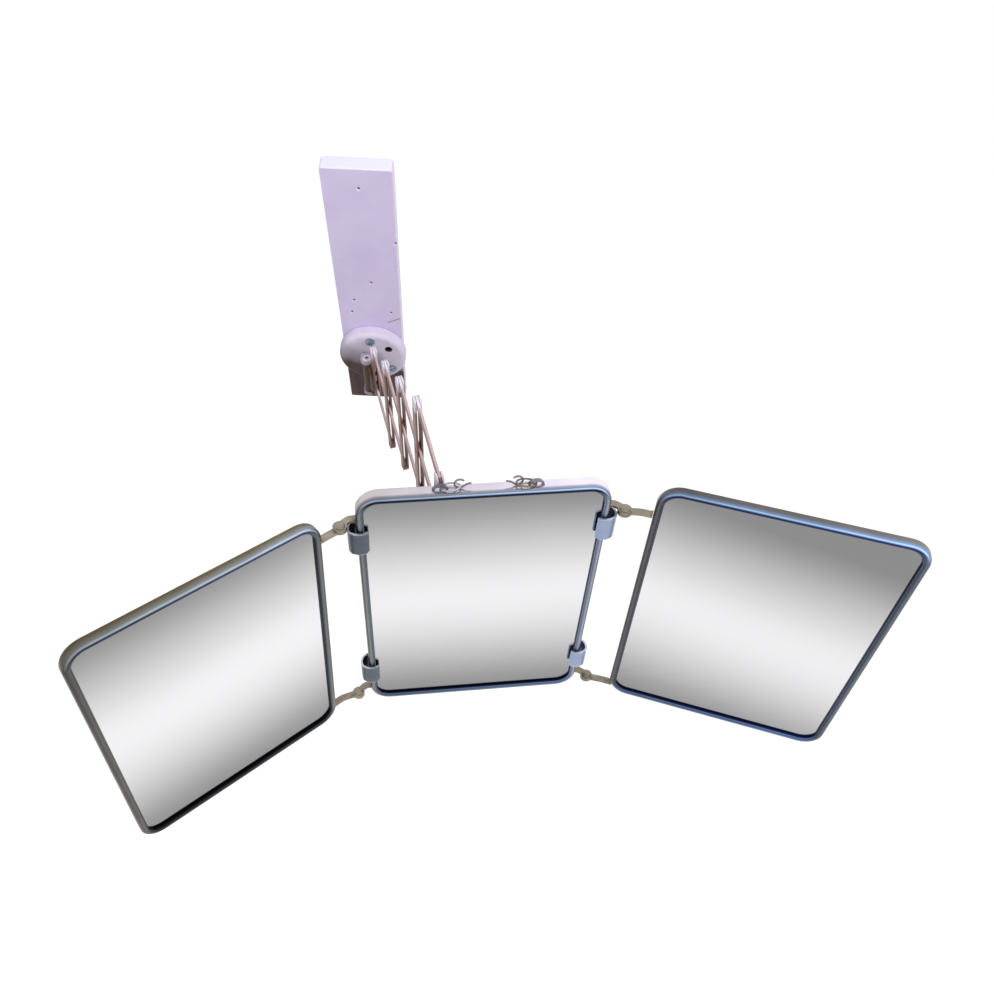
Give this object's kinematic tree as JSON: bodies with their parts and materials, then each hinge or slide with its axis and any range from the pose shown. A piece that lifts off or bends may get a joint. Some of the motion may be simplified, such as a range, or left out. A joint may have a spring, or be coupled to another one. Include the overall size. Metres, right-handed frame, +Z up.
{
  "type": "barber mirror",
  "caption": "Wall-held shaving mirror: framed centre mirror with a hinged wing on each side, on a folding lazy-tongs arm that swivels on a small wall board.",
  "frame": {"origin": "centre of the wall board's back face", "axes": "+X right along the wall as seen from the room, +Y into the wall, +Z up"},
  "size_m": [0.5828, 0.551, 0.3375],
  "materials": {
    "board_paint": "worn gloss paint",
    "iron_paint": "painted",
    "bar_paint": "satin, rubbed at the edges",
    "screw_steel": "dull",
    "plated_frame": "polished",
    "clamp_steel": "dark, semi-polished",
    "strap_metal": "tarnished",
    "mirror_glass": "silvered",
    "pressed_board": "raw"
  },
  "bodies": {
    "wall": {"backboard": "board_paint", "wall_block": "board_paint", "block_screw_1": "screw_steel", "block_screw_2": "screw_steel", "wall_bracket": "iron_paint", "bracket_screw_1": "screw_steel", "bracket_screw_2": "screw_steel", "wall_swivel_pin": "screw_steel"},
    "swivel": {"wall_swivel_flag": "iron_paint", "post_left_bar": "bar_paint", "post_right_bar": "bar_paint"},
    "slant_0": {"slanted_bar_0": "bar_paint"},
    "slant_1": {"slanted_bar_1": "bar_paint"},
    "slant_2": {"slanted_bar_2": "bar_paint"},
    "slant_3": {"slanted_bar_3": "bar_paint"},
    "slant_4": {"slanted_bar_4": "bar_paint"},
    "upright_1": {"upright_1_left_bar": "bar_paint", "upright_1_right_bar": "bar_paint"},
    "upright_2": {"upright_2_left_bar": "bar_paint", "upright_2_right_bar": "bar_paint"},
    "upright_3": {"upright_3_left_bar": "bar_paint", "upright_3_right_bar": "bar_paint"},
    "end_post": {"end_post_left_bar": "bar_paint", "end_post_right_bar": "bar_paint", "end_swivel_flag": "iron_paint", "mirror_swivel_pin": "screw_steel"},
    "head": {"mirror_yoke": "iron_paint"},
    "carriage": {"tilt_bolt": "screw_steel", "clamp_spine": "clamp_steel", "upper_clamp_bar": "clamp_steel", "lower_clamp_bar": "clamp_steel", "centre_frame": "plated_frame", "centre_glass": "mirror_glass", "centre_backing": "pressed_board", "left_wing_upper_centre_strap": "strap_metal", "left_wing_lower_centre_strap": "strap_metal", "right_wing_upper_centre_strap": "strap_metal", "right_wing_lower_centre_strap": "strap_metal", "left_wing_upper_hinge_rivet": "screw_steel", "left_wing_lower_hinge_rivet": "screw_steel", "right_wing_upper_hinge_rivet": "screw_steel", "right_wing_lower_hinge_rivet": "screw_steel", "left_hanging_lug": "screw_steel", "right_hanging_lug": "screw_steel"},
    "wing_nut": {"tilt_wing_nut": "screw_steel"},
    "left_wing": {"left_wing_upper_wing_strap": "strap_metal", "left_wing_lower_wing_strap": "strap_metal", "left_wing_frame": "plated_frame", "left_wing_glass": "mirror_glass", "left_wing_backing": "pressed_board"},
    "right_wing": {"right_wing_upper_wing_strap": "strap_metal", "right_wing_lower_wing_strap": "strap_metal", "right_wing_frame": "plated_frame", "right_wing_glass": "mirror_glass", "right_wing_backing": "pressed_board"},
    "left_ring": {"left_hanging_ring": "screw_steel"},
    "left_hook": {"left_hanging_hook": "screw_steel"},
    "right_ring": {"right_hanging_ring": "screw_steel"},
    "right_hook": {"right_hanging_hook": "screw_steel"}
  },
  "joints": [
    {"name": "arm_swivel", "type": "hinge", "parent": "wall", "child": "swivel", "pos_m": [-0.0046, -0.0401, -0.091], "axis": [0, 0, 1], "range_deg": [-90, 52]},
    {"name": "arm_extend", "type": "hinge", "parent": "swivel", "child": "slant_1", "pos_m": [0.00565, -0.05137, -0.0378], "axis": [-0.9449, -0.3272, 0], "range_deg": [-63, 12]},
    {"name": "upright_2_pivot", "type": "hinge", "parent": "slant_1", "child": "upright_2", "pos_m": [0.04852, -0.17518, -0.06589], "axis": [-0.9449, -0.3272, 0], "range_deg": [-12, 63]},
    {"name": "slant_3_pivot", "type": "hinge", "parent": "upright_2", "child": "slant_3", "pos_m": [0.04852, -0.17518, 0.06811], "axis": [-0.9449, -0.3272, 0], "range_deg": [-63, 12]},
    {"name": "end_post_pivot", "type": "hinge", "parent": "slant_3", "child": "end_post", "pos_m": [0.0914, -0.29899, 0.04002], "axis": [-0.9449, -0.3272, 0], "range_deg": [-12, 63]},
    {"name": "slant_0_pivot", "type": "hinge", "parent": "swivel", "child": "slant_0", "pos_m": [0.00565, -0.05137, -0.1048], "axis": [-0.9449, -0.3272, 0], "range_deg": [-63, 12]},
    {"name": "upright_1_pivot", "type": "hinge", "parent": "slant_1", "child": "upright_1", "pos_m": [0.02709, -0.11327, -0.05184], "axis": [-0.9449, -0.3272, 0], "range_deg": [-12, 63]},
    {"name": "slant_2_pivot", "type": "hinge", "parent": "upright_2", "child": "slant_2", "pos_m": [0.04852, -0.17518, 0.00111], "axis": [-0.9449, -0.3272, 0], "range_deg": [-63, 12]},
    {"name": "upright_3_pivot", "type": "hinge", "parent": "slant_3", "child": "upright_3", "pos_m": [0.06996, -0.23708, 0.05407], "axis": [-0.9449, -0.3272, 0], "range_deg": [-12, 63]},
    {"name": "slant_4_pivot", "type": "hinge", "parent": "end_post", "child": "slant_4", "pos_m": [0.0914, -0.29899, 0.10702], "axis": [-0.9449, -0.3272, 0], "range_deg": [-63, 12]},
    {"name": "mirror_swivel", "type": "hinge", "parent": "end_post", "child": "head", "pos_m": [0.09031, -0.31418, 0.071], "axis": [0, 0, 1], "range_deg": [-50, 50]},
    {"name": "mirror_tilt", "type": "hinge", "parent": "head", "child": "carriage", "pos_m": [0.1247, -0.32727, 0.062], "axis": [0.9887, 0.1467, -0.0304], "range_deg": [-10, 35]},
    {"name": "wing_nut_turn", "type": "hinge", "parent": "carriage", "child": "wing_nut", "pos_m": [0.14151, -0.32478, 0.06148], "axis": [0.9887, 0.1467, -0.0304], "range_deg": [-90, 20]},
    {"name": "left_wing_fold", "type": "hinge", "parent": "carriage", "child": "left_wing", "pos_m": [0.02171, -0.37848, 0.01772], "axis": [-0.0079, 0.2537, 0.9673], "range_deg": [-45, 80]},
    {"name": "right_wing_fold", "type": "hinge", "parent": "carriage", "child": "right_wing", "pos_m": [0.23527, -0.3468, 0.01116], "axis": [-0.0079, 0.2537, 0.9673], "range_deg": [-90, 33]},
    {"name": "left_ring_lift", "type": "hinge", "parent": "carriage", "child": "left_ring", "pos_m": [0.0941, -0.32963, 0.14109], "axis": [0.1496, -0.9561, 0.252], "range_deg": [0, 100]},
    {"name": "left_hook_swing", "type": "hinge", "parent": "left_ring", "child": "left_hook", "pos_m": [0.10885, -0.32707, 0.14203], "axis": [-0.1496, 0.9561, -0.252], "range_deg": [0, 18]},
    {"name": "right_ring_lift", "type": "hinge", "parent": "carriage", "child": "right_ring", "pos_m": [0.1643, -0.31921, 0.13894], "axis": [-0.1496, 0.9561, -0.252], "range_deg": [0, 100]},
    {"name": "right_hook_swing", "type": "hinge", "parent": "right_ring", "child": "right_hook", "pos_m": [0.14953, -0.32104, 0.14078], "axis": [0.1496, -0.9561, 0.252], "range_deg": [0, 18]}
  ],
  "couplings": [
    {"joint": "upright_1_pivot", "follows": "arm_extend", "ratio": -1},
    {"joint": "slant_2_pivot", "follows": "arm_extend", "ratio": 1},
    {"joint": "upright_2_pivot", "follows": "arm_extend", "ratio": -1},
    {"joint": "slant_3_pivot", "follows": "arm_extend", "ratio": 1},
    {"joint": "upright_3_pivot", "follows": "arm_extend", "ratio": -1},
    {"joint": "slant_4_pivot", "follows": "arm_extend", "ratio": 1},
    {"joint": "end_post_pivot", "follows": "arm_extend", "ratio": -1},
    {"joint": "slant_0_pivot", "follows": "arm_extend", "ratio": 1}
  ]
}
